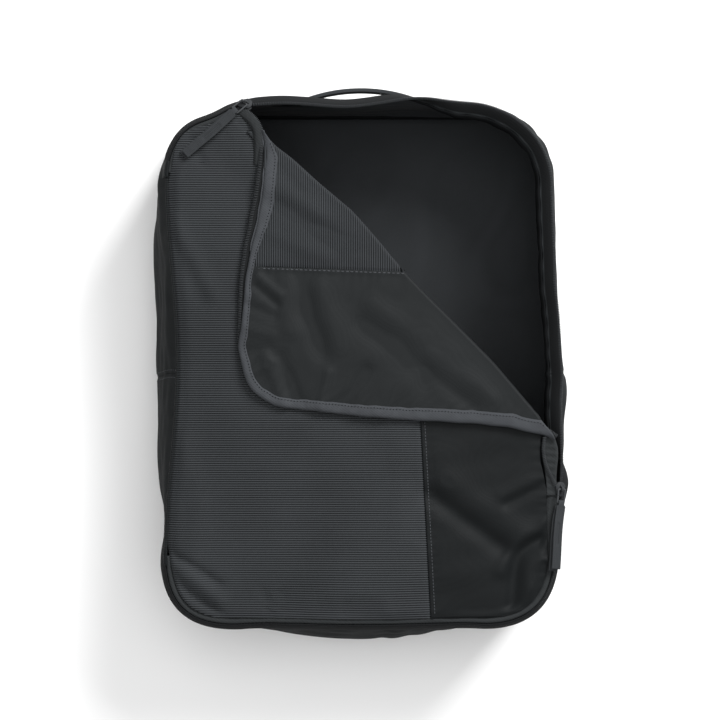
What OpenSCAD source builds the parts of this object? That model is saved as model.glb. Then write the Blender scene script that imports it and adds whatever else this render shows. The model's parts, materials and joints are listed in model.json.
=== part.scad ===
// Packing cube: a soft rectangular case that lies on its back panel.
// A two-slider zip runs round three sides of the lid, and the fourth side is a sewn hinge.
// The corner of the lid between the two sliders is folded back over the lid.
// X runs across the case, Y towards the carry handle, Z up out of the open side.

/* [Case] */
// Outer width of the case across its side walls
case_w = 298; // [280:1:320]
// Outer length of the case from the foot wall to the handle wall
case_l = 390; // [380:1:420]
// Height of the line where the two zip halves meet
zip_h = 94; // [70:1:120]
// Radius of the four rounded corners, seen from above
corner_r = 46; // [40:1:56]
// Thickness of a fabric panel with its lining
panel_t = 1.6; // [1.2:0.1:2]

/* [Lid] */
// Distance from the hinge seam to the case's middle
hinge_x = 139; // [136:1:144]
// Direction, seen from above, that the folded corner points in when it is closed
fold_angle = 43.5; // [40:0.5:48]
// Distance from the case's middle to the flat end of the lid, where the fold roll begins
fold_at = 65; // [60:1:70]
// Distance from the case's middle to the axis that the folded corner turns about
fold_axis = 73.5; // [72:0.5:76]
// Slack in the fold, which leaves the closed corner this far short of the rim
fold_slack = 4; // [4:0.5:8]
// Place of the seam between the ribbed and the plain lid fabric, at the case's middle
seam_x = 42.7; // [35:1:55]
// Lean of that seam towards the hinge side
seam_lean = 3; // [0:0.5:5]

/* [Zip] */
// Tilt of the zip's plane out towards the side wall
zip_tilt = 20; // [15:1:25]
// Width and height of one zip coil
coil_w = 2; // [1.6:0.1:2.2]
// Width of each woven zip tape
tape_w = 12; // [10:0.5:14]
// Distance along the top edge from the case's middle to the upper slider
slider_top_at = 86; // [84:1:92]
// Distance along the side edge from the case's middle to the lower slider
slider_side_at = 92; // [80:1:110]

/* [Pullers] */
// Length of the wire link between slider and tab
link_l = 10; // [8:0.5:12]
// Length of the folded tape tab
tab_l = 46; // [35:1:50]
// Width of the tab
tab_w = 7; // [6:0.5:8]

/* [Handle] */
// Length of the free part of the handle strap
handle_l = 92; // [80:1:110]
// How far the middle of the strap bows away from its ends
handle_bow = 9; // [6:0.5:12]
// Width of the folded strap
strap_w = 11; // [9:0.5:12]

/* [Hidden] */
$fn = 64;
far = 600;

charcoal = [0.085, 0.087, 0.093];
plain_black = [0.06, 0.062, 0.066];
binding_grey = [0.16, 0.162, 0.17];
hardware_grey = [0.12, 0.122, 0.128];

half_w = case_w / 2;
half_l = case_l / 2;
straight_w = half_w - corner_r;
straight_l = half_l - corner_r;

// heights, from the floor up
binding_t = 0.6;
tape_t = 0.8;
wall_top = zip_h - 6;
coil_apart = 1.7;
coil_drop = coil_apart * sin(zip_tilt);
case_coil_z = zip_h - coil_drop;
lid_coil_z = zip_h + coil_drop;
case_tape_top = case_coil_z - coil_w / 2;
lid_tape_z = lid_coil_z - tape_t / 2;
lid_panel_z = lid_tape_z + tape_t;
lid_panel_top = lid_panel_z + panel_t;
lid_binding_z = lid_tape_z - binding_t;
layer_gap = 2.4;
fold_z = lid_panel_top + layer_gap / 2;

// distances in from the outer face
wall_in = tape_t;
lining_in = wall_in + panel_t;
zip_in = 2;
case_coil_in = zip_in - coil_apart * cos(zip_tilt);
lid_coil_in = zip_in + coil_apart * cos(zip_tilt);
lid_tape_in = lid_coil_in + coil_w / 2;
lid_tape_w = tape_w - 3.6;
lid_panel_in = 8;
edge_binding_w = 7;

// the sewn hinge along the left side
hinge_z = lid_panel_z;
hinge_r = 1.2;
lid_start = 0.4 + hinge_r;
hinge_half = straight_l - 4;
seam_drop = 3.5;
seam_t = 1.4;

// seams inside the case
side_seam_y = -7;
side_binding_w = 8;
back_binding_top = 9;
rim_binding_w = 9;

// scraps of fabric over the ends of the zip
end_tab_t = 0.9;
end_tab_half = 5;
end_tab_drop = 6;

// where the fold ends things
lid_zip_end = fold_axis + 0.5;
flap_start = 2 * fold_axis - fold_at;
roll_r = layer_gap / 2;
roll_gap = 0.3;
roll_low = -116;
roll_high = 180;
roll_seam = 22;

// sliders and pullers
wing_t = 1.2;
channel = 1.8;
wing_top = channel + wing_t;
wing_half = 3.8;
under_wing_half = 3.2;
under_wing_case = 1.5;
wedge_from = 2.2;
wedge_l = 2.4;
wedge_t = 0.6;
flange_l = 6;
flange_t = 0.8;
flange_from = 0.9;
bridge_t = 0.9;
bridge_foot = 3.8;
bridge_half = 2.1;
bridge_shoulder = 1.2;
window_half = 1.4;
window_h = 3.2;
window_bevel = 0.6;
overlap = 0.2;
pin_at = wing_top + window_h / 2;
wire_r = 0.6;
link_half = tab_w / 2 - 0.8;
leaf_t = 1;
leaf_gap = 0.4;
leaf_step = 2;
eye_play = 0.1;
puller_turn = 221.8;
link_lift = 12;
upper_tab_droop = 14.5;
lower_tab_droop = 2.5;

// handle
handle_z = 56;
handle_y = half_l + 4;
strap_t = 3.5;
patch_l = 19;
patch_w = 18;
patch_t = 1.2;
patch_from = handle_l / 2 + 1;
bartack_in = 4;
bartack_w = 1.4;
bartack_t = 0.6;

// A rounded rectangle, this far in from the case's outer face
module plan(inset) {
    r = corner_r - inset;
    square([2 * (half_w - inset), 2 * straight_l], center = true);
    square([2 * straight_w, 2 * (half_l - inset)], center = true);
    for (x = [-1, 1], y = [-1, 1])
        translate([x * straight_w, y * straight_l])
            circle(r);
}

// A band that follows the outline: t thick inwards, from z0 up to z1
module wall(inset, t, z0, z1) {
    translate([0, 0, z0])
        linear_extrude(z1 - z0)
            difference() {
                plan(inset);
                plan(inset + t);
            }
}

// A bar that follows the whole outline, as wide and high as a zip coil
module coil_bar(inset, z) {
    wall(inset - coil_w / 2, coil_w, z - coil_w / 2, z + coil_w / 2);
}

// Everything further from the middle than offset_mm, in the direction angle
module beyond(angle, offset_mm) {
    rotate([0, 0, angle])
        translate([offset_mm, -far, -far])
            cube([2 * far, 2 * far, 2 * far]);
}

// The strip along the hinge, which has no zip
module hinge_side() {
    beyond(180, hinge_x - lid_start);
}

// Everything on the plain side of the lid's fabric seam
module plain_side(shift = 0) {
    translate([seam_x + shift, 0, 0])
        rotate([0, 0, seam_lean])
            translate([0, -far, -far])
                cube([2 * far, 2 * far, 2 * far]);
}

// Keeps the part of its children that stays on the lid
module on_lid(last = fold_at) {
    difference() {
        children();
        hinge_side();
        beyond(fold_angle, last);
    }
}

// Takes the closed corner of the lid and folds it back about the fold axis
module folded() {
    nx = fold_axis * cos(fold_angle);
    ny = fold_axis * sin(fold_angle);
    translate([nx, ny, fold_z])
        rotate(a = 180, v = [-sin(fold_angle), cos(fold_angle), 0])
            translate([-nx, -ny, -fold_z])
                intersection() {
                    translate([
                        -fold_slack * cos(fold_angle),
                        -fold_slack * sin(fold_angle),
                        0
                    ])
                        children();
                    beyond(fold_angle, flap_start);
                }
}

// The round of fabric at the fold, between the flat lid and the folded corner
module fold_roll(low, high) {
    rotate([0, 0, fold_angle])
        translate([fold_at + roll_gap, low, fold_z])
            rotate([-90, 0, 0])
                linear_extrude(high - low)
                    difference() {
                        intersection() {
                            circle(roll_r + panel_t);
                            translate([0, -10])
                                square([20, 20]);
                        }
                        circle(roll_r);
                    }
}

// ---- the case ----

module back_panel() {
    color(plain_black)
        linear_extrude(panel_t)
            plan(0);
}

// One half of the side wall; up is true for the half that has the handle
module gusset(up) {
    color(plain_black)
        difference() {
            union() {
                wall(wall_in, panel_t, panel_t, wall_top);
                intersection() {
                    wall(wall_in, panel_t, wall_top, hinge_z - seam_drop);
                    translate([-far - hinge_x, -hinge_half, 0])
                        cube([far, 2 * hinge_half, far]);
                }
            }
            translate([-far, up ? side_seam_y - far : side_seam_y, -1])
                cube([2 * far, far, far]);
        }
}

module back_binding() {
    color(binding_grey)
        wall(lining_in, tape_t, panel_t, back_binding_top);
}

module rim_binding() {
    color(binding_grey)
        wall(lining_in, tape_t, wall_top - rim_binding_w, wall_top);
}

// Covers the raw edges where the two gusset halves are sewn together, inside
module gusset_seam_binding(side) {
    place = half_w - lining_in - tape_t / 2;
    low = back_binding_top;
    high = wall_top - rim_binding_w;
    color(binding_grey)
        translate([side * place, side_seam_y, (low + high) / 2])
            cube([tape_t, side_binding_w, high - low], center = true);
}

module case_zip_tape() {
    color(hardware_grey)
        difference() {
            wall(0, tape_t, case_tape_top - tape_w, case_tape_top);
            hinge_side();
        }
}

module case_zip_coil() {
    color(hardware_grey)
        difference() {
            coil_bar(case_coil_in, case_coil_z);
            hinge_side();
        }
}

// A flat seam allowance that ends in the rolled edge the lid turns about
module hinge_seam() {
    outer = half_w - wall_in;
    stem_t = 1.2;
    color(charcoal) {
        translate([-outer, -hinge_half, hinge_z - seam_drop])
            cube([outer - hinge_x - stem_t / 2, 2 * hinge_half, seam_t]);
        translate([-hinge_x - stem_t / 2, -hinge_half, hinge_z - seam_drop])
            cube([stem_t, 2 * hinge_half, seam_drop]);
        translate([-hinge_x, -hinge_half, hinge_z])
            rotate([-90, 0, 0])
                cylinder(r = hinge_r, h = 2 * hinge_half);
    }
}

// A scrap of fabric over the end of the zip, at the handle end or the foot end
module zip_end_tab(side) {
    color(plain_black)
        intersection() {
            wall(-end_tab_t, end_tab_t, wall_top - end_tab_drop, case_tape_top);
            translate([
                -hinge_x - end_tab_half,
                side > 0 ? straight_l : -far - straight_l,
                0
            ])
                cube([2 * end_tab_half, far, far]);
        }
}

// ---- the handle ----

module handle_end(side) {
    color(plain_black)
        translate([
            side * (patch_from + patch_l / 2),
            half_l - wall_in + patch_t / 2,
            handle_z
        ])
            cube([patch_l, patch_t, patch_w], center = true);
}

module handle_bartacks() {
    color(binding_grey)
        for (side = [-1, 1], place = [bartack_in, patch_l - bartack_in])
            translate([
                side * (patch_from + place),
                half_l - wall_in + patch_t + bartack_t / 2,
                handle_z
            ])
                cube([bartack_w, bartack_t, patch_w - bartack_in], center = true);
}

// An arc of a circle whose ends lie on the axis that the strap tilts about
module handle_strap() {
    r = (pow(handle_l / 2, 2) + pow(handle_bow, 2)) / (2 * handle_bow);
    half_angle = asin(handle_l / 2 / r);
    color(plain_black)
        translate([0, handle_y + handle_bow - r, handle_z])
            rotate([0, 0, 90 - half_angle])
                rotate_extrude(angle = 2 * half_angle, $fn = 128)
                    translate([r - strap_t / 2, -strap_w / 2])
                        square([strap_t, strap_w]);
}

// ---- the lid and its folded corner ----

module panel_layer() {
    translate([0, 0, lid_panel_z])
        linear_extrude(panel_t)
            plan(lid_panel_in);
}

module edge_binding_layer() {
    wall(lid_panel_in, edge_binding_w, lid_binding_z, lid_tape_z);
}

module tape_layer() {
    wall(lid_tape_in, lid_tape_w, lid_tape_z, lid_panel_z);
}

// A strip under the seam between the two lid fabrics
module seam_strip_layer() {
    intersection() {
        translate([0, 0, lid_tape_z])
            linear_extrude(tape_t)
                plan(lid_tape_in + lid_tape_w);
        difference() {
            plain_side(-4);
            plain_side(4);
        }
    }
}

module lid_ribbed_panel() {
    color(charcoal)
        difference() {
            on_lid() panel_layer();
            plain_side();
        }
}

module lid_plain_panel() {
    color(plain_black)
        intersection() {
            on_lid() panel_layer();
            plain_side();
        }
}

module lid_seam_binding() {
    color(binding_grey)
        on_lid() seam_strip_layer();
}

module lid_edge_binding() {
    color(binding_grey)
        on_lid() edge_binding_layer();
}

module lid_zip_tape() {
    color(hardware_grey)
        on_lid(lid_zip_end) tape_layer();
}

module lid_zip_coil() {
    color(hardware_grey)
        on_lid(lid_zip_end) coil_bar(lid_coil_in, lid_coil_z);
}

module flap_ribbed_panel() {
    color(charcoal) {
        folded()
            difference() {
                panel_layer();
                plain_side();
            }
        fold_roll(roll_seam, roll_high);
    }
}

module flap_plain_panel() {
    color(plain_black) {
        folded()
            intersection() {
                panel_layer();
                plain_side();
            }
        fold_roll(roll_low, roll_seam);
    }
}

module flap_seam_binding() {
    color(binding_grey)
        folded() seam_strip_layer();
}

module flap_edge_binding() {
    color(binding_grey)
        folded() edge_binding_layer();
}

module flap_zip_tape() {
    color(hardware_grey)
        folded() tape_layer();
}

module flap_zip_coil() {
    color(hardware_grey)
        folded() coil_bar(lid_coil_in, lid_coil_z);
}

// ---- sliders and pullers ----

// Puts its children on the zip: X along the zip, Y across it to the lid, Z out of it.
// edge is 0 for the side edge and 1 for the handle edge.
module on_zip(edge, along) {
    out = (edge == 0 ? half_w : half_l) - zip_in;
    rotate([0, 0, 90 * edge])
        translate([out, along, zip_h])
            rotate([0, zip_tilt, 0])
                rotate([0, 0, 90])
                    children();
}

// A teardrop plate, widest at its mouth, cut off at these distances across the zip
module wing(z, low, high) {
    translate([0, 0, z])
        linear_extrude(wing_t)
            intersection() {
                union() {
                    translate([1.5, 0])
                        circle(4);
                    translate([-2.5, 0])
                        circle(3);
                    polygon([[1, -3.95], [1, 3.95], [-3, 2.95], [-3, -2.95]]);
                }
                translate([-far, low])
                    square([2 * far, high - low]);
            }
}

// The arch that holds the link. It is narrow at the link's height, so that the link can
// stand at an angle to the zip.
module bridge() {
    foot_z = wing_top - overlap;
    neck_z = foot_z + bridge_foot - bridge_half;
    window_top = wing_top + window_h;
    top_z = window_top + bridge_shoulder;
    rotate([90, 0, 0])
        linear_extrude(bridge_t, center = true)
            difference() {
                polygon([
                    [-bridge_foot, foot_z], [bridge_foot, foot_z],
                    [bridge_half, neck_z], [bridge_half, top_z - bridge_shoulder],
                    [bridge_half - bridge_shoulder, top_z],
                    [bridge_shoulder - bridge_half, top_z],
                    [-bridge_half, top_z - bridge_shoulder], [-bridge_half, neck_z]
                ]);
                polygon([
                    [-window_half, wing_top], [window_half, wing_top],
                    [window_half, window_top - window_bevel],
                    [window_half - window_bevel, window_top],
                    [window_bevel - window_half, window_top],
                    [-window_half, window_top - window_bevel]
                ]);
            }
}

// A slider with its mouth towards +X: two wings, the wedge between the coils, and the
// bridge. The wing underneath is cut short on the case's side, -Y, to clear its tape.
module slider() {
    color(hardware_grey) {
        wing(channel, -wing_half, wing_half);
        wing(-wing_top, -under_wing_case, under_wing_half);
        translate([wedge_from, -wedge_t / 2, overlap - wing_top])
            cube([wedge_l, wedge_t, 2 * (wing_top - overlap)]);
        for (side = [-1, 1])
            translate([-3.4, side * 3.3 - flange_t / 2, flange_from])
                cube([flange_l, flange_t, channel - flange_from + overlap]);
        bridge();
    }
}

// A wire loop round the bridge: Y is the axis it swings about, X points to the tab
module link() {
    half = link_half;
    color(hardware_grey) {
        for (x = [0, link_l])
            translate([x, -half, 0])
                rotate([-90, 0, 0])
                    cylinder(r = wire_r, h = 2 * half, $fn = 32);
        for (side = [-1, 1])
            translate([0, side * half, 0])
                rotate([0, 90, 0])
                    cylinder(r = wire_r, h = link_l, $fn = 32);
        for (x = [0, link_l], side = [-1, 1])
            translate([x, side * half, 0])
                sphere(r = wire_r, $fn = 32);
    }
}

// A tape folded round the end of the link, its two leaves one above the other.
// droop is how far it hangs below the link's own direction.
module tab(droop) {
    eye_r = wire_r + eye_play;
    eye_w = 2 * (link_half - wire_r - 2 * eye_play);
    leaf_start = wire_r + 2 * eye_play;
    color(binding_grey)
        translate([link_l, 0, 0])
            rotate([0, droop, 0]) {
                for (side = [-1, 1])
                    translate([
                        leaf_start,
                        -tab_w / 2,
                        side > 0 ? leaf_gap / 2 : -leaf_gap / 2 - leaf_t
                    ])
                        cube([tab_l + (side > 0 ? 0 : leaf_step), tab_w, leaf_t]);
                translate([0, -eye_w / 2, 0])
                    rotate([-90, 0, 0])
                        linear_extrude(eye_w)
                            difference() {
                                union() {
                                    circle(eye_r + leaf_t);
                                    translate([0, -leaf_gap / 2 - leaf_t])
                                        square([4, leaf_gap + 2 * leaf_t]);
                                }
                                circle(eye_r);
                                translate([0, -leaf_gap / 2])
                                    square([6, leaf_gap]);
                            }
            }
}

module upper_puller_place() {
    lift_y = half_l - zip_in + pin_at * sin(zip_tilt);
    translate([-slider_top_at, lift_y, zip_h + pin_at * cos(zip_tilt)])
        rotate([0, -link_lift, puller_turn])
            children();
}

module lower_puller_place() {
    on_zip(0, -slider_side_at)
        translate([0, 0, pin_at])
            rotate([0, 0, 180])
                children();
}

back_panel();
gusset(true);  // upper_gusset
gusset(false);  // lower_gusset
back_binding();
rim_binding();
gusset_seam_binding(-1);  // left_seam_binding
gusset_seam_binding(1);  // right_seam_binding
case_zip_tape();
case_zip_coil();
hinge_seam();
zip_end_tab(1);  // upper_zip_end_tab
zip_end_tab(-1);  // lower_zip_end_tab
handle_end(-1);  // handle_end_left
handle_end(1);  // handle_end_right
handle_bartacks();
lid_ribbed_panel();
lid_plain_panel();
lid_seam_binding();
lid_edge_binding();
lid_zip_tape();
lid_zip_coil();
flap_ribbed_panel();
flap_plain_panel();
flap_seam_binding();
flap_edge_binding();
flap_zip_tape();
flap_zip_coil();
on_zip(1, slider_top_at) mirror([1, 0, 0]) slider();  // slider_top
on_zip(0, -slider_side_at) slider();  // slider_side
upper_puller_place() link();  // puller_top_link
upper_puller_place() tab(upper_tab_droop);  // puller_top_tab
lower_puller_place() link();  // puller_side_link
lower_puller_place() tab(lower_tab_droop);  // puller_side_tab
handle_strap();
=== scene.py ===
"""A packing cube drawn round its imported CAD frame: a soft case that lies on its back, a zip with
two sliders round three sides of the lid, and the free corner of the lid folded back over it.
X runs across the case, Y towards the carry handle and Z up. Shapes are worked out in millimetres,
and become metres where a mesh is made."""

import json
import math

import bmesh
import bpy
import numpy as np
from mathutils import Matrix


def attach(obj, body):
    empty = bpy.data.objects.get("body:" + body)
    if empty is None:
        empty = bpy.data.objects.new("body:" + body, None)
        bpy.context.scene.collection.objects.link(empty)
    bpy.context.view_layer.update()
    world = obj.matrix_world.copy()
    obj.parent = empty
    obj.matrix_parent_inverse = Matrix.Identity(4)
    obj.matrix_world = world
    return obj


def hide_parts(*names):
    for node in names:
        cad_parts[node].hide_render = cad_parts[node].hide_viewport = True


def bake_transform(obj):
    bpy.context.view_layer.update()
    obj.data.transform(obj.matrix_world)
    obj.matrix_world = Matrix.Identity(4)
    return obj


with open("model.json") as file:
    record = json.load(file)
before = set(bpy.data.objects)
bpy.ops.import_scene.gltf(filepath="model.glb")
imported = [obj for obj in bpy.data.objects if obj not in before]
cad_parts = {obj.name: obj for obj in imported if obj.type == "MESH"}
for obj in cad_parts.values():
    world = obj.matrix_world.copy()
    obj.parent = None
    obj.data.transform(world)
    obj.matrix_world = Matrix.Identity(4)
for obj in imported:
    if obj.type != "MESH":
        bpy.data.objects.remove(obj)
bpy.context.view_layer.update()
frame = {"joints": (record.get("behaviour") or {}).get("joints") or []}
MM = 0.001

# heights of the line where the zip's halves meet, the lid, and the middle of the fold's roll
RIM_HEIGHT, LID_HEIGHT, FOLD_HEIGHT = 94, 96, 98
COIL_PITCH = 1.25
PANEL_T, WALL_T = 1.1, 1.3
NO_LIMIT = 999  # stands for an edge that is out of the way


# ---- small tools ----

def ease(x, a, b):
    """0 before a, 1 after b, and smooth between them. b may be the lower one."""
    t = np.clip((np.asarray(x, float) - a) / (b - a), 0, 1)
    return t * t * (3 - 2 * t)


def bell(x, middle, width):
    return np.exp(-(((np.asarray(x, float) - middle) / width) ** 2))


def ripple(x, y, seed, length):
    """Soft waves about one high, of about this wavelength, that don't repeat"""
    draw = np.random.default_rng(seed)
    total = 0
    for _ in range(7):
        angle = draw.uniform(0, math.tau)
        rate = math.tau / (length * draw.uniform(0.65, 1.7))
        shift = draw.uniform(0, math.tau)
        total = total + np.sin(rate * (x * math.cos(angle) + y * math.sin(angle)) + shift)
    return total / 3


def through(points, steps=12):
    """A smooth curve through the points. Each point may be a whole array of points."""
    p = np.asarray(points, float)
    ends = np.concatenate([[2 * p[0] - p[1]], p, [2 * p[-1] - p[-2]]])
    out = []
    for i in range(len(p) - 1):
        a, b, c, d = ends[i:i + 4]
        for t in np.arange(steps) / steps:
            out.append(0.5 * (2 * b + (c - a) * t + (2 * a - 5 * b + 4 * c - d) * t ** 2
                              + (3 * b - a - 3 * c + d) * t ** 3))
    return np.array(out + [p[-1]])


def travelled(path):
    """How far along the path each of its points is"""
    return np.concatenate([[0], np.cumsum(np.linalg.norm(np.diff(path, axis=0), axis=1))])


def even(path, step):
    """The same path with its points a step apart"""
    far = travelled(path)
    at = np.linspace(0, far[-1], max(3, int(round(far[-1] / step)) + 1))
    return np.stack([np.interp(at, far, path[:, k]) for k in range(path.shape[1])], axis=1)


def distance(x, y, path):
    """How far each point is from a line through the path's points"""
    best = np.full(np.shape(x), 1e9)
    for (ax, ay), (bx, by) in zip(path[:-1], path[1:]):
        dx, dy = bx - ax, by - ay
        t = np.clip(((x - ax) * dx + (y - ay) * dy) / (dx * dx + dy * dy), 0, 1)
        best = np.minimum(best, np.hypot(x - ax - t * dx, y - ay - t * dy))
    return best


def unit(v):
    return v / np.maximum(np.linalg.norm(v, axis=-1, keepdims=True), 1e-9)


def joint_place(name):
    """Where a joint's axis is, in millimetres"""
    joint = next(j for j in frame["joints"] if j["name"] == name)
    return np.array(joint["pos_m"]) / MM


# ---- meshes ----

def make(name, parts, materials):
    """One object from parts, each a pair of points and faces"""
    points, faces, start = [], [], 0
    for p, f in parts:
        p = np.asarray(p, float).reshape(-1, 3)
        points.append(p)
        faces += [[i + start for i in face] for face in f]
        start += len(p)
    mesh = bpy.data.meshes.new(name)
    mesh.from_pydata((np.concatenate(points) * MM).tolist(), [], faces)
    mesh.polygons.foreach_set("use_smooth", [True] * len(mesh.polygons))
    for material in materials if isinstance(materials, list) else [materials]:
        mesh.materials.append(material)
    obj = bpy.data.objects.new(name, mesh)
    bpy.context.scene.collection.objects.link(obj)
    return obj


def grid(rows, cols, loop=False, flip=False):
    """Faces of a grid of points. loop joins the last column to the first."""
    r, c = np.meshgrid(np.arange(rows - 1), np.arange(cols if loop else cols - 1),
                       indexing="ij")
    a, b = r * cols + c, r * cols + (c + 1) % cols
    corners = [a, b, b + cols, a + cols]
    return np.stack(corners[::-1] if flip else corners, axis=-1).reshape(-1, 4).tolist()


def sheet(name, points, materials, thick, loop=False, flip=False, inner=False):
    """A grid of points as fabric of this thickness, which grows away from the shown side.
    inner gives its hidden side the second material."""
    rows, cols = points.shape[:2]
    obj = make(name, [(points, grid(rows, cols, loop, flip))], materials)
    thicken(obj, thick, inner)
    return obj


def thicken(obj, thick, inner=False):
    solid = obj.modifiers.new("thickness", "SOLIDIFY")
    solid.thickness = thick * MM
    solid.offset = -1
    solid.material_offset = 1 if inner else 0


def sweep(path, side, up, profile, closed=False, flip=False):
    """Points and faces of a profile carried along a path. The profile's pairs are distances
    along side and up, each a number or one number for every point of the path."""
    rows = [path + side * np.reshape(a, (-1, 1)) + up * np.reshape(b, (-1, 1))
            for a, b in profile]
    points = np.array(rows)
    if closed:
        points = np.concatenate([points, points[:1]])
    return points, grid(len(points), len(path), flip=flip)


def heading(path, closed=False):
    """The direction of a path at each of its points"""
    if closed:
        return unit(np.roll(path, -1, axis=0) - np.roll(path, 1, axis=0))
    return unit(np.gradient(path, axis=0))


def along(path, up=(0, 0, 1)):
    """Unit vectors along a path, to its left and out of it"""
    ahead = heading(path)
    left = unit(np.cross(np.broadcast_to(np.asarray(up, float), ahead.shape), ahead))
    return ahead, left, np.cross(ahead, left)


def tube(path, radius, sides=6, closed=False):
    """A round wire along a path"""
    path = np.asarray(path, float)
    ahead = heading(path, closed)
    across = np.empty_like(path)
    side = unit(np.cross(ahead[0], (0.31, 0.17, 0.93)))
    for i, t in enumerate(ahead):
        side = side - t * side.dot(t)
        side = side / np.linalg.norm(side)
        across[i] = side
    other = np.cross(ahead, across)
    turn = np.arange(sides) * math.tau / sides
    points = (path[:, None] + radius * (np.cos(turn)[None, :, None] * across[:, None]
                                        + np.sin(turn)[None, :, None] * other[:, None]))
    if closed:
        points = np.concatenate([points, points[:1]])
        return points, grid(len(points), sides, loop=True)
    caps = [list(range(sides))[::-1],
            list(range(sides * (len(path) - 1), sides * len(path)))]
    return points, grid(len(path), sides, loop=True) + caps


def stitches(path, pitch, length, width, sink=0.1, up=(0, 0, 1)):
    """A row of stitches along a path, each a low lozenge of thread"""
    path = even(path, pitch)
    path = (path[1:] + path[:-1]) / 2
    ahead, left, out = along(path, up)
    stations = [(-0.5, 0.3), (-0.3, 0.9), (0, 1), (0.3, 0.9), (0.5, 0.3)]
    sides = 6
    turn = np.arange(sides) * math.tau / sides
    rings = []
    for at, size in stations:
        r = size * width / 2
        rings.append(path[:, None] + ahead[:, None] * at * length
                     + left[:, None] * (r * np.cos(turn))[None, :, None]
                     + out[:, None] * (0.7 * r * np.sin(turn) - sink)[None, :, None])
    points = np.stack(rings, axis=1)
    size = sides * len(stations)
    one = grid(len(stations), sides, loop=True)
    one += [list(range(sides))[::-1], list(range(size - sides, size))]
    faces = [[i + size * k for i in face] for k in range(len(path)) for face in one]
    return points, faces


# ---- materials ----

def from_srgb(*tone):
    return tuple(((c / 255 + 0.055) / 1.055) ** 2.4 for c in tone) + (1.0,)


class Shader:
    """A node material under construction"""

    def __init__(self, name, roughness=0.8, sheen=0.0, specular=0.5):
        self.material = bpy.data.materials.new(name)
        self.material.use_nodes = True
        self.tree = self.material.node_tree
        self.shader = self.tree.nodes["Principled BSDF"]
        self.shader.inputs["Roughness"].default_value = roughness
        self.shader.inputs["Sheen Weight"].default_value = sheen
        self.shader.inputs["Sheen Roughness"].default_value = 0.4
        self.shader.inputs["Specular IOR Level"].default_value = specular
        self.place = self.node("ShaderNodeTexCoord").outputs["Object"]

    def node(self, kind, links=(), **settings):
        node = self.tree.nodes.new(kind)
        for key, value in settings.items():
            if key in node.inputs:
                node.inputs[key].default_value = value
            else:
                setattr(node, key, value)
        for socket, source in links:
            self.tree.links.new(source, node.inputs[socket])
        return node

    def maths(self, operation, *values):
        """The result of a sum whose values are sockets or numbers"""
        node = self.node("ShaderNodeMath", operation=operation)
        for socket, value in zip(node.inputs, values):
            if isinstance(value, (int, float)):
                socket.default_value = value
            else:
                self.tree.links.new(value, socket)
        return node.outputs[0]

    def turned(self, degrees):
        """The place turned about Z, for patterns that run at an angle"""
        return self.node("ShaderNodeVectorRotate", [("Vector", self.place)],
                         Angle=math.radians(degrees)).outputs["Vector"]

    def noise(self, scale, detail=3.0, where=None):
        node = self.node("ShaderNodeTexNoise", [("Vector", where or self.place)],
                         Scale=scale, Detail=detail, Roughness=0.55)
        return node.outputs["Fac"]

    def bands(self, pitch_mm, where=None, axis="X", waver=0.0):
        """Waves with one crest to each pitch"""
        node = self.node("ShaderNodeTexWave", [("Vector", where or self.place)],
                         Scale=math.tau / (20 * pitch_mm * MM), Distortion=waver,
                         bands_direction=axis)
        return node.outputs["Fac"]

    def sum(self, *terms):
        """Adds up pairs of a value and its share, with each value taken about its middle"""
        total = None
        for value, share in terms:
            scaled = self.maths("MULTIPLY_ADD", value, share, -share / 2)
            total = scaled if total is None else self.maths("ADD", total, scaled)
        return total

    def colour(self, tone, spread, value):
        """Mixes a darker and a lighter tone by a value about zero"""
        shifted = self.maths("ADD", value, 0.5)
        base = np.array(from_srgb(*tone)[:3])
        mix = self.node("ShaderNodeMix", [("Factor", shifted)], data_type="RGBA")
        mix.inputs["A"].default_value = (*(base * (1 - spread)), 1)
        mix.inputs["B"].default_value = (*(base * (1 + spread)), 1)
        self.tree.links.new(mix.outputs["Result"], self.shader.inputs["Base Color"])

    def relief(self, value, depth_mm, strength=1.0):
        bump = self.node("ShaderNodeBump", [("Height", value)], Strength=strength,
                         Distance=depth_mm * MM)
        self.tree.links.new(bump.outputs["Normal"], self.shader.inputs["Normal"])

    def roughness_from(self, value, low, high):
        span = self.node("ShaderNodeMapRange", [("Value", value)])
        span.inputs["To Min"].default_value = low
        span.inputs["To Max"].default_value = high
        self.tree.links.new(span.outputs["Result"], self.shader.inputs["Roughness"])


def woven(name, tone, yarn=0.45, depth=0.06, spread=0.3, sheen=0.02, roughness=0.72,
          twill=False, specular=0.05):
    """Plain or twill weave: crossing yarns, uneven dye and a little lint"""
    s = Shader(name, roughness, sheen, specular)
    if twill:
        one = s.bands(yarn, s.turned(38), "X", 0.4)
        two = s.bands(yarn * 2.1, s.turned(-52), "X", 0.4)
    else:
        one = s.bands(yarn, None, "X", 0.5)
        two = s.bands(yarn, None, "Y", 0.5)
    third = s.bands(yarn, None, "Z", 0.5)
    lint = s.noise(1800)
    cloud = s.noise(26, 4)
    patch = s.noise(7, 2)
    s.colour(tone, spread, s.sum((one, 0.22), (two, 0.22), (third, 0.12), (lint, 0.5),
                                 (cloud, 0.35), (patch, 0.35)))
    s.relief(s.sum((one, 0.5), (two, 0.5), (third, 0.35), (lint, 0.5)), depth)
    s.roughness_from(cloud, roughness - 0.07, roughness + 0.09)
    return s.material


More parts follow.
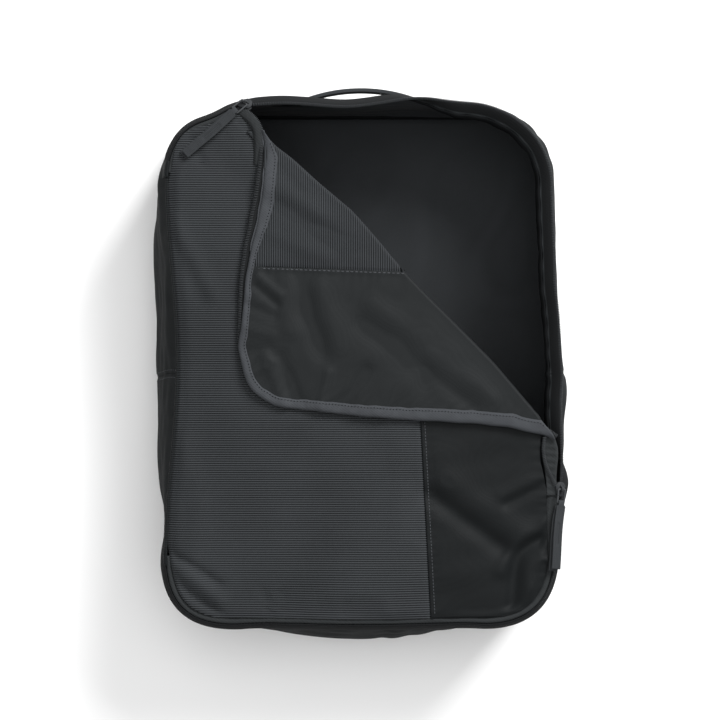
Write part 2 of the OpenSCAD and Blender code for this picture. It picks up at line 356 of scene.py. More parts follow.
def ribbed(name, tone, turned=0.0):
    """Fabric with raised ribs: the ribs are in the mesh, fine cross yarns lie over them, and the
    colour paints shade in the grooves and highlight on the crests
    """
    s = Shader(name, 0.75, 0.05, 0.08)
    place = s.turned(turned)
    phase = s.node("ShaderNodeAttribute", attribute_name="rib").outputs["Fac"]
    wave = s.maths("COSINE", s.maths("MULTIPLY", phase, math.tau))
    crest = s.maths("MULTIPLY_ADD", wave, 0.5, 0.5)
    cross = s.bands(0.62, place, "X", 0.6)
    run = s.bands(0.5, place, "Y", 0.4)
    lint = s.noise(1500)
    cloud = s.noise(22, 4)
    patch = s.noise(6, 2)
    # the crest term is painted highlight on the rib crests and painted shade in the grooves; the
    # other terms are yarns, lint and uneven dye
    s.colour(tone, 0.72, s.sum((crest, 0.95), (cross, 0.2), (run, 0.1), (lint, 0.45),
                               (cloud, 0.3), (patch, 0.4)))
    s.relief(s.sum((cross, 0.6), (run, 0.3), (lint, 0.5)), 0.07)
    s.roughness_from(cloud, 0.62, 0.8)
    return s.material


def painted_metal(name, tone, roughness):
    """Zip hardware: dark paint over metal, scuffed"""
    s = Shader(name, roughness, specular=0.16)
    grain = s.noise(900, 5)
    cloud = s.noise(240, 3)
    s.colour(tone, 0.3, s.sum((grain, 0.5), (cloud, 0.7)))
    s.relief(grain, 0.02, 0.5)
    s.roughness_from(cloud, roughness - 0.1, roughness + 0.12)
    return s.material


RIBBED = ribbed("ribbed_fabric", (44, 46, 48))
RIBBED_FLAP = ribbed("ribbed_fabric_folded", (41, 43, 45), 90)
# a darker copy of the ribbed fabric for the hinge roll: painted shade
RIBBED_SHADED = ribbed("ribbed_fabric_painted_shade", (24, 26, 27))
PLAIN = woven("plain_nylon", (20, 22, 23), roughness=0.5, specular=0.08)
# lighter than the lid's plain nylon: partly the fabric's other side, partly painted light
PLAIN_FLAP = woven("plain_nylon_folded_painted_light", (28, 30, 31), roughness=0.5, specular=0.08)
WALL = woven("plain_nylon_wall", (27, 29, 30), sheen=0, roughness=0.6, specular=0.03)
LINING = woven("plain_nylon_lining", (46, 48, 50), yarn=0.5, roughness=0.66)
BINDING = woven("binding_tape", (59, 61, 64), yarn=0.7, depth=0.09, sheen=0.03,
                roughness=0.85, twill=True)
# a darker copy of the binding tape for the tapes inside the case and under the lid and flap:
# painted shade
BINDING_SHADED = woven("binding_tape_painted_shade", (22, 23, 24), yarn=0.7, sheen=0.0, specular=0.0,
                     roughness=0.85)
TAPE_CASE = woven("zip_tape_case", (27, 28, 29), yarn=0.8, depth=0.1, spread=0.35,
                  twill=True, roughness=0.8, sheen=0.0)
TAPE = woven("zip_tape", (42, 44, 45), yarn=0.8, depth=0.1, spread=0.35, twill=True,
             roughness=0.8)
COIL = woven("zip_coil", (56, 58, 60), yarn=0.3, depth=0.01, roughness=0.5)
METAL = painted_metal("slider_metal", (40, 42, 44), 0.55)
WIRE = painted_metal("slider_wire", (54, 56, 58), 0.5)
TAB = woven("puller_tape", (48, 50, 52), yarn=0.4, depth=0.05, roughness=0.8)
WEBBING = woven("webbing", (50, 52, 54), yarn=0.8, depth=0.12, twill=True, roughness=0.8)
THREAD = woven("thread", (64, 66, 69), yarn=0.2, depth=0.02, sheen=0.1, roughness=0.7)
# a dark patch for the puller tab's slot: painted shade
SLOT_SHADE = woven("puller_slot_painted_shade", (27, 28, 29), yarn=0.4, depth=0.03, roughness=0.85)
# near-black lozenges for the stitch holes along the flap's binding: painted shade
HOLE_SHADE = woven("thread_hole_painted_shade", (12, 13, 14), yarn=0.3, depth=0.02, roughness=0.9)


# ---- the outline of the case ----

LOWER_RIGHT = -149.0  # place round the outline where the right side starts, at its foot end
SIDE_RUN, CORNER_RUN, END_RUN = 298, 72.3, 206
STRETCHES = (SIDE_RUN, CORNER_RUN, END_RUN, CORNER_RUN) * 2
LAP = sum(STRETCHES)
COUNT = 860
U = LOWER_RIGHT + LAP * np.arange(COUNT) / COUNT


def outline(left, right, foot, head, radii, bows=(0, 0, 0, 0), pulls=()):
    """Points round a rounded rectangle, anticlockwise from the foot end of its right side.
    radii are top right, top left, bottom left and bottom right; bows are how far the right,
    head, left and foot sides swell; a pull moves a stretch near a point outwards."""
    tr, tl, bl, br = radii
    straight = {
        0: ((right, foot + br), (right, head - tr), (1, 0), bows[0]),
        2: ((right - tr, head), (left + tl, head), (0, 1), bows[1]),
        4: ((left, head - tl), (left, foot + bl), (-1, 0), bows[2]),
        6: ((left + bl, foot), (right - br, foot), (0, -1), bows[3]),
    }
    corners = {
        1: ((right - tr, head - tr), tr, 0),
        3: ((left + tl, head - tl), tl, 90),
        5: ((left + bl, foot + bl), bl, 180),
        7: ((right - br, foot + br), br, 270),
    }
    points = np.zeros((COUNT, 2))
    start = LOWER_RIGHT
    for k, length in enumerate(STRETCHES):
        here = (U >= start - 1e-6) & (U < start + length - 1e-6)
        q = (U[here] - start) / length
        if k in straight:
            a, b, out, bow = straight[k]
            swell = bow * (0.5 - 0.5 * np.cos(math.tau * q))
            points[here] = (np.outer(1 - q, a) + np.outer(q, b) + np.outer(swell, out))
        else:
            centre, r, first = corners[k]
            angle = np.radians(first + 90 * q)
            points[here] = np.array(centre) + r * np.stack([np.cos(angle), np.sin(angle)], 1)
        start += length
    out = outward(points)
    for place, amount, width in pulls:
        near = np.exp(-(np.linalg.norm(points - place, axis=1) / width) ** 2)
        points += out * (amount * near)[:, None]
    return points


def outward(ring):
    ahead = unit(np.roll(ring, -2, axis=0) - np.roll(ring, 2, axis=0))
    return np.stack([ahead[:, 1], -ahead[:, 0]], axis=1)


RIM = outline(-143.5, 141.5, -191, 193, (60, 54, 56, 52), (6, 1, -8, 1.5), [
    ((147, -85), 5, 42), ((-12, 194), -2.5, 22), ((45, 194), 4.5, 26), ((-112, 190), -5.5, 19),
    ((-130, -178), 7.5, 30), ((128, -178), 4.5, 28),
    ((82, 192), 0.8, 18), ((147, 60), -1.2, 16), ((150, -8), 1.2, 14), ((-60, 194), 1, 16)])
RIM_OUT = outward(RIM)
# how much each place round the rim is open, leans out as a brim, or is the sewn hinge
OPEN = ease(U, -112, -90) * ease(U, 432, 410)
BRIM = ease(U, -95, -45) * ease(U, 300, 225)
HINGE = ease(U, 484, 506) * ease(U, 814, 790)
CLOSED = 1 - OPEN
RIM_Z = RIM_HEIGHT - 3 * bell(U, 180, 60) - HINGE


def off_rim(out, down):
    """A ring this far out from the rim and this far below it"""
    xy = RIM + RIM_OUT * np.reshape(out, (-1, 1))
    return np.column_stack([xy, RIM_Z - down])


def zoned(closed, head, brim, hinge):
    """One value for each kind of place round the rim"""
    shown = closed * CLOSED + OPEN * (head * (1 - BRIM) + brim * BRIM)
    return shown * (1 - HINGE) + hinge * HINGE


def at_height(xy, z):
    return np.column_stack([xy, np.full(len(xy), float(z))])


shoulder = off_rim(zoned(3.4, 5, -6.5, 0.4), zoned(5, 5, 5, 2.0))
throat = off_rim(zoned(5, 5.5, -8.5, 8 - 5 * ease(RIM[:, 1], -85, -125)),
                 zoned(15, 15, 14, 14))
belly = outline(-154, 151.5, -200, 197.5, (52, 50, 52, 50), (1.5, 0.5, 0, 9.5), [
    ((153, -22), 4, 22), ((152, -60), 3, 18), ((152, -98), -2, 16), ((-112, 194), -5, 22),
    ((-154, 78), 4, 48), ((-154, -15), 2.6, 50), ((-154, -132), -6, 34),
    ((-148, 160), -7, 36), ((152, 90), -3, 50), ((140, 180), -5, 40),
    ((128, -178), -6, 38), ((-130, -182), -5, 38)])
low = outline(-152, 149.5, -200, 197.5, (48, 48, 48, 48), (0.5, 0, 0, 4),
              [((-146, 160), -4, 36), ((145, 170), -3, 40), ((128, -178), -4, 38),
               ((-130, -182), -4, 38)])
base = outline(-148, 148, -194, 194, (46, 46, 46, 46))
mid_xy = 0.5 * belly + 0.5 * throat[:, :2]
WALL_RINGS = np.array([
    at_height(base, 1.6), at_height(0.55 * base + 0.45 * low, 5), at_height(low, 16),
    at_height(belly, 42), at_height(mid_xy, 64), throat, shoulder])


def wall_surface(steps=9):
    """The whole side wall from the back panel up to the zip, with its creases"""
    surface = through(WALL_RINGS, steps)
    rise = np.linspace(0, 1, len(surface))[:, None]
    swing = ease(rise, 0.02, 0.25) * ease(rise, 0.99, 0.8)
    u = U[None, :]
    z = surface[:, :, 2]
    push = (0.9 * ripple(u, 2.6 * z, 11, 110) + 0.3 * ripple(u, 3.2 * z, 12, 40)) * swing
    # slanting slack creases at the corners and short puckers below the zip
    for middle, lean in ((185, 0.5), (463, -0.5), (833, 0.5), (1110, -0.5), (1010, 0.2)):
        for k in range(3):
            line = u - middle - (k - 1) * 21 - lean * (z - 45)
            push = push - 1.0 * np.exp(-(line / 6) ** 2) * swing
    pucker = np.sin(u / 2.9 + 1.5 * np.sin(u / 37)) * ease(rise, 0.8, 0.97)
    push = push + 0.28 * pucker * ease(rise, 1.001, 0.98)
    # the sewn side seams draw the wall in
    for seam in SIDE_SEAMS:
        push = push - 0.9 * bell(u, seam, 2.2) * ease(rise, 0, 0.1) * ease(rise, 1, 0.93)
    surface[:, :, :2] += RIM_OUT[None] * push[:, :, None]
    return surface


def place_near(x, y):
    """The index of the place round the outline nearest to a point"""
    return int(np.argmin(np.hypot(RIM[:, 0] - x, RIM[:, 1] - y)))


SEAM_RIGHT, SEAM_LEFT = place_near(150, -7), place_near(-136, -7)
SIDE_SEAMS = (U[SEAM_RIGHT], U[SEAM_LEFT])


# ---- how a piece joins the frame ----

def fit(piece, body, slot, *nodes):
    """A piece that rides on one body, in place of these CAD nodes"""
    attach(piece, body)
    if nodes:
        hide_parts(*nodes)


def hinged(piece, slot, *nodes):
    """Lid fabric, baked where it lies, in place of these CAD nodes"""
    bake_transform(piece)
    if nodes:
        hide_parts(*nodes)


# ---- the case ----

def build_case():
    surface = wall_surface()
    columns = np.arange(COUNT)
    upper = columns[SEAM_RIGHT:SEAM_LEFT + 1]
    lower = np.concatenate([columns[SEAM_LEFT:], columns[:SEAM_RIGHT + 1]])
    for name, cols in (("upper_gusset", upper), ("lower_gusset", lower)):
        piece = sheet(name + "_fabric", surface[:, cols], [WALL, LINING], WALL_T,
                      inner=True)
        fit(piece, "case", "plain_nylon", name)

    # the back panel: a flat panel with a slightly full middle, seen through the opening
    rings = []
    for share in np.concatenate([[0.0], np.linspace(0.03, 0.9, 20), [0.94, 0.97, 1.0]]):
        xy = base * share
        full = ripple(xy[:, 0], xy[:, 1], 21, 110) * 0.5 * ease(share, 1, 0.8)
        rings.append(np.column_stack([xy, 1.7 + np.maximum(full, -0.3)]))
    back = sheet("back_panel_fabric", np.array(rings), [LINING, WALL], 1.4, loop=True,
                 flip=True, inner=True)
    fit(back, "case", "plain_nylon", "back_panel")

    def inside_strip(node, rings_down, thick, wave):
        """A strip of tape laid along the inside of the wall"""
        rows = []
        for k, row in enumerate(rings_down):
            edge = wave if k == len(rings_down) - 1 else 0
            in_by = 1.9 + 0.5 * math.sin(math.pi * k / (len(rings_down) - 1))
            shifted = surface[row].copy()
            shifted[:, :2] -= RIM_OUT * in_by
            shifted[:, 2] += edge * ripple(U, 0 * U, 31, 26) * 1.4
            rows.append(shifted)
        strip = sheet(node + "_tape", np.array(rows), BINDING_SHADED, thick, loop=True, flip=True)
        fit(strip, "case", "binding_tape", node)

    top = len(surface) - 1
    inside_strip("rim_binding", [top, top - 2, top - 4, top - 6], 0.6, 1)
    inside_strip("back_binding", [1, 4, 7, 10], 0.7, 0.5)

    for name, seam in (("left_seam_binding", SEAM_LEFT), ("right_seam_binding", SEAM_RIGHT)):
        cols = np.arange(seam - 3, seam + 4)
        rows = surface[10:-7][:, cols].copy()
        rows[:, :, :2] -= RIM_OUT[cols][None] * 2.1
        strip = sheet(name + "_tape", rows, BINDING_SHADED, 0.7, flip=True)
        fit(strip, "case", "binding_tape", name)

    # a raised cord of fabric round the foot of the wall, where it is sewn to the back panel
    welt_path = at_height(base, 3.0)
    welt_path[:, :2] += outward(base) * 0.9
    piping = make("base_seam_piping", [tube(welt_path, 1.3, 8, closed=True)], WALL)
    fit(piping, "case", "plain_nylon")

    # topstitching on both sides of each side seam
    rows = []
    for seam in (SEAM_LEFT, SEAM_RIGHT):
        for shift in (-2, 2):
            line = surface[4:-2, seam + shift].copy()
            line[:, :2] += RIM_OUT[seam] * 0.15
            out = np.append(RIM_OUT[seam], 0.0)
            rows.append(stitches(line, 2.6, 1.7, 0.5, 0.0, out))
    fit(make("side_seam_stitching", rows, THREAD), "case", "thread")


# ---- the lid ----

def seam_at(y):
    """Where the seam between the ribbed and the plain lid fabric is, at this Y"""
    return 42.7 - 0.0524 * y


FOLD_N = np.array((0.7254, 0.6884))
FOLD_T = np.array((-0.6884, 0.7254))
ROLL_R = 2.0
_fold = through([(-137, 67.0), (-128, 68.4), (-117, 69.8), (-100, 70.8), (-83, 71.8),
                 (-66, 72.6), (-47, 72.4), (-19, 71.8), (9, 71.1), (40, 71.3), (54, 72.4),
                 (84, 73.6), (97, 72.6), (120, 70.1), (145, 68.2), (162, 65.8), (180, 66.5)])


def across_fold(x, y):
    """How far a point is out towards the fold, and how far along it"""
    return x * FOLD_N[0] + y * FOLD_N[1], x * FOLD_T[0] + y * FOLD_T[1]


def fold_at(t):
    """How far out the folded edge is, at this place along the fold"""
    return np.interp(t, _fold[:, 0], _fold[:, 1])


def fold_cut(y, back):
    """X where a line this far inside the folded edge crosses this Y"""
    x = np.zeros_like(np.asarray(y, float))
    for _ in range(8):
        t = across_fold(x, y)[1]
        x = (fold_at(t) - back - FOLD_N[1] * y) / FOLD_N[0]
    return x


LID_EDGE = RIM - RIM_OUT * np.reshape(
    4.4 * (1 - HINGE) * (1 - 0.85 * bell(U, U[place_near(-136, 168)], 17)) + 0.2 * HINGE,
    (-1, 1))
LEFT_HALF = (U > 427) & (U < 870)
RIGHT_LOW = (U < 20) | (U > 1074)
_left = LID_EDGE[LEFT_HALF][::-1]
_right = LID_EDGE[RIGHT_LOW]
_right = _right[np.argsort(_right[:, 1])]
LID_FOOT, LID_HEAD = _left[0, 1], _left[-1, 1]
FREE_CORNER = through([(150, -73.5), (161, -74.4), (172, -76), (178.5, -81.2), (182.6, -87),
                       (188, -94)])
RIGHT_EDGE = through([(-165, 148), (-139, 139.6), (-115, 138), (-104, 137.6), (-92, 137.2),
                      (-81, 135.2), (-70, 132.9), (-58, 133.2), (-44, 134.5)])

# creases in the lid: points, half width, height
CREASES = [
    ([(50, -96), (72, -112), (105, -136)], 7, -2.6), ([(64, -86), (118, -122)], 9, 1.2),
    ([(112, -178), (115, -146), (124, -134), (139, -127)], 5.5, -2.4),
    ([(104, -152), (112, -136), (138, -117)], 6, 1.4),
    ([(126, -172), (126, -152), (139, -141)], 6, 1.2),
    ([(108, -103), (137, -89)], 4, -1.3), ([(104, -96), (136, -81)], 5, 0.9),
    ([(-145, -139), (-128, -147), (-106, -162)], 4, -2.3),
    ([(-144, -147), (-126, -157), (-104, -174)], 5, 1.8),
    ([(-142, -158), (-122, -173), (-100, -189)], 4, -2.6),
    ([(-71, -166), (-66, -188)], 2.6, -1.0), ([(-61, -168), (-57, -188)], 2.6, -1.0),
    ([(-66, -166), (-61, -188)], 2.6, 0.8), ([(-40, -172), (-36, -188)], 3, 0.6),
    ([(-12, -176), (-10, -189)], 3, -0.6), ([(18, -174), (22, -189)], 4, 0.6),
    ([(-141, 108), (-126, 82), (-110, 52)], 6, 1.5), ([(-136, 86), (-118, 50)], 7, -1.1),
    ([(-128, 172), (-118, 150)], 4, -1.0), ([(-100, 186), (-98, 168)], 3.5, -0.9),
    ([(-110, 186), (-108, 172)], 3.5, 0.8), ([(-89, 182), (-90, 158)], 2.0, -0.5),
    ([(-132, -60), (-120, -110), (-128, -150)], 9, 1.3), ([(28, -60), (30, -150)], 9, 0.7),
    ([(-20, -170), (20, -158), (40, -138)], 8, 1.2),
]


def lid_height(x, y):
    """The lid's upper surface. It is flat and low near the fold, where it turns over."""
    n, t = across_fold(x, y)
    free = ease(n, fold_at(t) - 13, fold_at(t) - 38)
    hills = 0.75 * ripple(x, y, 3, 130) + 0.3 * ripple(x, 1.6 * y, 4, 42)
    hills = hills + 2.4 * ease(y, -40, -148) * ease(y, -192, -150) * bell(x, 0, 95)
    for path, width, height in CREASES:
        hills = hills + height * np.exp(-(distance(x, y, through(path, 5)) / width) ** 2)
    rim_gap = distance(x, y, LID_EDGE[::7])
    hills = hills * (1 + 0.35 * ease(x, seam_at(y), seam_at(y) + 12))
    z = LID_HEIGHT + np.clip(hills, -3.2, 3.2) * free * (0.15 + 0.85 * ease(rim_gap, 0.5, 7))
    left = np.interp(y, _left[:, 1], _left[:, 0])
    hem = ease(x - left, 9, 0.3)
    soft = ease(np.abs(y - 2), 152, 135)
    return z - 2.6 * hem * soft - 0.5 * ease(rim_gap, 2.2, 0.2)


RIB = 1.68


def ribs_lid(y):
    return 0.3 * np.cos(math.tau * y / RIB)


def mark_ribs(obj, phase):
    """Keeps each point's place across the ribs, by which the material paints shade into the
    grooves and highlight on the crests
    """
    layer = obj.data.attributes.new("rib", "FLOAT", "POINT")
    layer.data.foreach_set("value", np.ravel(phase).astype(np.float32))


def row_grid(ys, left, right, columns, packed=0.35):
    """Rows of points along X, closer together near both ends"""
    s = np.linspace(0, 1, columns)
    s = s - packed * np.sin(math.tau * s) / math.tau
    x = left[:, None] + (right - left)[:, None] * s[None]
    return x, np.repeat(ys[:, None], columns, axis=1)


def foot_warp(x, y):
    """The foot edge swells outwards a little in the middle"""
    return y - 1.5 * (0.5 + 0.5 * np.cos(math.pi * np.clip(x / 94, -1, 1))) * bell(
        y, LID_FOOT, 26)


def under_fold(x, y):
    """Where the lid slips under the fold's lower leaf"""
    n, t = across_fold(x, y)
    return 0.4 * ease(n, fold_at(t) - 11, fold_at(t) - 8.4)


def build_lid():
    pitch = RIB / 4
    ys = np.arange(math.ceil((LID_FOOT + 0.1) / pitch), (LID_HEAD - 0.1) / pitch) * pitch
    left = np.interp(ys, _left[:, 1], _left[:, 0])
    t_guess = ys * 1.38
    back = 5.5 - 4.0 * ease(t_guess, 190, 225)
    right = np.minimum(seam_at(ys) - 0.2, fold_cut(ys, back))
    right = np.minimum(right, np.interp(ys, FREE_CORNER[:, 0], FREE_CORNER[:, 1],
                                        left=NO_LIMIT))
    x, y = row_grid(ys, left, np.maximum(right, left + 2), 48)
    z = lid_height(x, y) + ribs_lid(y) - under_fold(x, y)
    z = z - 0.7 * ease(x - seam_at(y), -2.2, -0.2)
    ribbed_panel = sheet("lid_ribbed_fabric", np.stack([x, foot_warp(x, y), z], -1),
                         [RIBBED, LINING], PANEL_T, inner=True)
    mark_ribs(ribbed_panel, y / RIB)
    hinged(ribbed_panel, "ribbed_fabric", "lid_ribbed_panel")

    ys = np.arange(LID_FOOT + 0.3, 50, 1.4)
    right = np.minimum(np.interp(ys, _right[:, 1], _right[:, 0]), fold_cut(ys, 5.5))
    right = np.minimum(right, np.interp(ys, RIGHT_EDGE[:, 0], RIGHT_EDGE[:, 1],
                                        left=NO_LIMIT, right=NO_LIMIT))
    x, y = row_grid(ys, seam_at(ys) - 0.8, np.maximum(right, seam_at(ys) + 1), 80)
    z = lid_height(x, y) - under_fold(x, y)
    z = z + 0.55 * bell(x - seam_at(y), 0.6, 1.4)
    # short puckers where the thread pulls, along the seam and the outer edge
    edge = np.maximum(right[:, None] - x, 0)
    z = z + 0.25 * np.sin(y * 0.9 + 2 * np.sin(y * 0.13)) * (
        np.exp(-edge / 5) + 0.6 * np.exp(-np.abs(x - seam_at(y) - 3) / 3))
    plain_panel = sheet("lid_plain_fabric", np.stack([x, foot_warp(x, y), z], -1),
                        [PLAIN, LINING], PANEL_T, inner=True)
    hinged(plain_panel, "plain_nylon", "lid_plain_panel")

    # the stitched seam between the two, and the strip that covers its back
    y = np.arange(LID_FOOT + 3, 47, 0.8)
    x = seam_at(y) + 2.3
    line = np.column_stack([x, y, lid_height(x, y) + 0.35])
    fit(make("lid_seam_stitching", [stitches(line, 2.4, 1.7, 0.65)], THREAD), "lid", "thread")
    x = seam_at(y)
    spine = np.column_stack([x, y, lid_height(x, y) - 2.2])
    _, side, up = along(spine)
    strip = make("lid_seam_tape", [sweep(spine, side, up, [(-4, 0), (0, -0.3), (4, 0)])],
                 BINDING_SHADED)
    thicken(strip, 0.6)
    fit(strip, "lid", "binding_tape", "lid_seam_binding")


def closed_runs():
    """The two stretches of zip that are done up, as rows of places round the rim: from the
    upper slider to the hinge, and from the hinge round the foot to the lower slider"""
    first = np.where((U > 423) & (U < 497))[0]
    second = np.concatenate([np.where(U > 802)[0], np.where(U < -98)[0]])
    return first, second


def helix(path, out, up, wide, high, turns_per):
    """A coil that winds round a path, with this many points to a turn"""
    far = travelled(path)
    at = np.linspace(0, far[-1], int(far[-1] / COIL_PITCH * turns_per))
    centre, o, p = (np.stack([np.interp(at, far, line[:, k]) for k in range(3)], 1)
                    for line in (path, out, up))
    angle = at / COIL_PITCH * math.tau
    return (centre + unit(o) * (wide * np.cos(angle))[:, None]
            + unit(p) * (high * np.sin(angle))[:, None])


OUT3 = np.column_stack([RIM_OUT, np.zeros(COUNT)])
UP3 = np.tile((0.0, 0.0, 1.0), (COUNT, 1))


def build_zip():
    ring = np.arange(COUNT)
    zip_part = ring[(U < 500) | (U > 799)]
    zip_part = np.concatenate([zip_part[U[zip_part] > 600], zip_part[U[zip_part] < 600]])

    # the case's tape: from the line where the halves meet, over the wall's upper edge
    rows = []
    over = zoned(4.6, 6.0, -8.6, 1.0)
    down = zoned(7.2, 6.5, 7.4, 3.0)
    crown = zoned(1, 1, 0.35, 1)
    for share, lift in ((0.0, -0.5), (0.04, 0.3), (0.16, 0.75), (0.34, 0.9), (0.52, 0.8),
                        (0.7, 0.5), (0.85, 0.2), (1.0, 0)):
        rows.append(off_rim(0.35 + over * share, down * share ** 1.25 - lift * crown))
    wave = 0.25 * ripple(U, 0 * U, 41, 30)
    rows = np.array(rows)
    rows[1:, :, 2] += wave
    tape = sheet("case_zip_tape_weave", rows[:, zip_part], TAPE_CASE, 0.6, flip=True)
    fit(tape, "case", "zip_tape", "case_zip_tape")

    # its coil, wound all along the edge
    lower = zoned(1.9, 0.35, 0.2, 1.9)
    path = off_rim(zoned(1.0, 0.1, 0.2, 1.0), lower)[zip_part]
    wire = helix(path, OUT3[zip_part], UP3[zip_part], 1.05, 0.85, 11)
    coil = make("case_zip_coil_wire", [tube(wire, 0.3, 4)], COIL)
    fit(coil, "case", "zip_coil", "case_zip_coil")

    # the lid's tape and coil where the zip is done up
    first, second = closed_runs()
    broad = 1 + 0.95 * ease(RIM[:, 1], -152, -128) * (RIM[:, 0] > 100)
    parts, coils = [], []
    for run in (first, second):
        rows = []
        for inset, lift in ((0.25, -0.5), (0.35, 0.3), (0.9, 0.7), (1.8, 0.9), (3.0, 0.9),
                            (4.6, -0.4), (6.6, -3.4)):
            ring_at = off_rim(-inset * (1 - 0.75 * HINGE) * (broad if inset > 1 else 1), -lift)
            ring_at[:, 2] += (0.3 * ripple(U, 0 * U, 43, 24)
                              + 0.12 * np.sin(U * 1.1)) * ease(inset, 0.5, 3)
            rows.append(ring_at[run])
        rows = np.array(rows)
        parts.append((rows, grid(*rows.shape[:2])))
        path = off_rim(-1.0, 1.7)[run]
        coils.append(tube(helix(path, OUT3[run], UP3[run], 1.05, 0.75, 10), 0.28, 4))

    # past the lower slider the lid's edge turns over: coil, pleated tape and bound edge
    bound = through([(137.2, -97, 145.2), (137.4, -90, 145.0), (136.8, -83, 144.8),
                     (135.8, -75, 145.3), (134.9, -68, 145.9), (134.4, -61, 145.6),
                     (135.4, -54, 143.4), (138, -48.5, 141.0)], 8)
    inner, y, outer = bound.T
    rise = ease(y, -88, -60)
    rows = []
    for share, lift in ((0, 0.5), (0.1, 0.9), (0.25, 1.0), (0.4, 1.2), (0.55, 1.5),
                        (0.7, 1.9), (0.82, 2.3), (0.93, 2.3), (1, 1.7), (1, 0.6)):
        pleat = 0.26 * np.sin(y * 1.25 + 0.6 + 2 * share) * math.sin(math.pi * share) ** 0.5
        rows.append(np.column_stack([inner + (outer - inner) * share, y,
                                     95.1 + lift * (0.4 + 0.6 * rise) + pleat
                                     + 0.9 * rise * share]))
    rows = np.array(rows)
    turned_edge = sheet("lid_corner_edge", rows, TAPE, 0.5, flip=True)
    hinged(turned_edge, "zip_tape")
    side_path = through([(144, -89.5, 96.6), (141.6, -84, 96.6), (138.8, -78.5, 96.7),
                         (136.4, -72.5, 97.0), (135.2, -66, 97.4), (135, -60, 97.8),
                         (135.9, -53, 98)], 6)
    _, side, up = along(side_path)
    coils.append(tube(helix(side_path, side, up, 1.25, 0.8, 10), 0.28, 4))
    # past the upper slider it curves down to the fold
    top_path = even(through([(-88, 190.4, 95.6), (-82.6, 186.8, 96.6), (-77.6, 182, 97.6),
                             (-74, 175.5, 98.3), (-72.8, 168, 98.2), (-72.6, 158, 97.2),
                             (-73, 148, 96.9)]), 0.6)
    _, side, up = along(top_path)
    coils.append(tube(helix(top_path, side, up, 1.2, 0.8, 10), 0.28, 4))
    parts.append(sweep(top_path, side, up,
                       [(0.5, -0.4), (-1.5, 0.2), (-4.2, -0.2), (-6.5, -1.1)]))
    tape = make("lid_zip_tape_weave", parts, TAPE)
    thicken(tape, 0.55)
    hinged(tape, "zip_tape", "lid_zip_tape")
    hinged(make("lid_zip_coil_wire", coils, COIL), "zip_coil", "lid_zip_coil")

    # the binding under the lid's edge, inside the case
    parts = []
    for run in (first, second):
        rows = np.array([off_rim(-inset, drop)[run]
                         for inset, drop in ((7.5, 1.4), (10, 3.2), (13, 3.6), (15.5, 3.4))])
        parts.append((rows, grid(*rows.shape[:2])))
    binding = make("lid_edge_tape", parts, BINDING_SHADED)
    thicken(binding, 0.6)
    hinged(binding, "binding_tape", "lid_edge_binding")

    # the rolled edge that the lid turns about, in the darker copy of the ribbed fabric as painted
    # shade
    run = ring[(U > 488) & (U < 810)]
    path = off_rim(0.6, 0.9)[run]
    roll = make("hinge_roll", [tube(path, 1.3, 10)], RIBBED_SHADED)
    mark_ribs(roll, [v.co.y / (RIB * MM) for v in roll.data.vertices])
    hinged(roll, "ribbed_fabric", "hinge_seam")

    # scraps of fabric over the zip's two ends
    for name, middle, reach in (("upper_zip_end_tab", 494, 0.8),
                                ("lower_zip_end_tab", 804, 0.4)):
        run = ring[np.abs(U - middle) < 6]
        rows = np.array([off_rim(out * reach, drop)[run] for out, drop in
                         ((-0.5, -1.5), (1.6, -1.1), (3.2, 0.6), (4.2, 4), (6.2, 9))])
        scrap = sheet(name + "_scrap", rows, WALL, 0.9, flip=True)
        fit(scrap, "case", "plain_nylon", name)


# ---- the folded corner ----

def flap_edge_path():
    """The outer edge of the folded corner, from its upper end round to the lower slider"""
    return even(through([
        (-73.2, 173.5), (-71.7, 167), (-70.4, 158), (-70.6, 146), (-72.2, 129), (-76, 107),
        (-81, 85), (-85, 63), (-86.5, 41), (-90, 18.5), (-89.5, 7.5), (-85.5, -7.5),
        (-79, -19.5), (-67, -27.5), (-56, -31),
        (-23, -35), (8, -38.2), (44, -40.8), (76, -42.5), (103, -45.2), (122, -48.6),
        (132.5, -50.8), (138, -52.4), (143, -55.8)]), 1.0)


FLAP_EDGE = flap_edge_path()
FLAP_PUCKERS = [
    ([(-60, 6), (-46, -30)], 5.5, -1.0), ([(-70, 6), (-57, -28)], 5, 0.8),
    ([(-44, 66), (-40, 38), (-28, 8)], 7.5, -1.1), ([(-56, 62), (-52, 26)], 8, 0.7),
    ([(-30, 56), (-18, 14)], 9, 0.7), ([(-84, 44), (-64, 36)], 4, -0.6),
    ([(-86, 28), (-66, 22)], 4.5, 0.5), ([(-86, 10), (-68, 12)], 4, -0.5),
    ([(-80, -6), (-66, 2)], 3, 0.6), ([(-30, -30), (-24, -6)], 4, 0.8),
    ([(-14, -32), (4, -4)], 5, -0.8), ([(16, -36), (40, -6)], 6, 0.7),
    ([(-76, 66), (-60, 52)], 3.5, 0.8), ([(-78, 58), (-62, 44)], 3, -0.8),
    ([(0, 30), (30, 10), (48, -14)], 8, -0.9), ([(10, 44), (44, 20)], 8, 0.7),
    ([(52, 8), (96, -24)], 7, 0.7), ([(48, -4), (84, -32)], 5, -0.6),
    ([(-62, 118), (-20, 92), (16, 84)], 7, -0.9), ([(-66, 132), (-30, 112)], 7, 0.8),
    ([(-64, 96), (-24, 78)], 6, 0.7), ([(-60, 150), (-44, 130)], 5, -0.7),
]


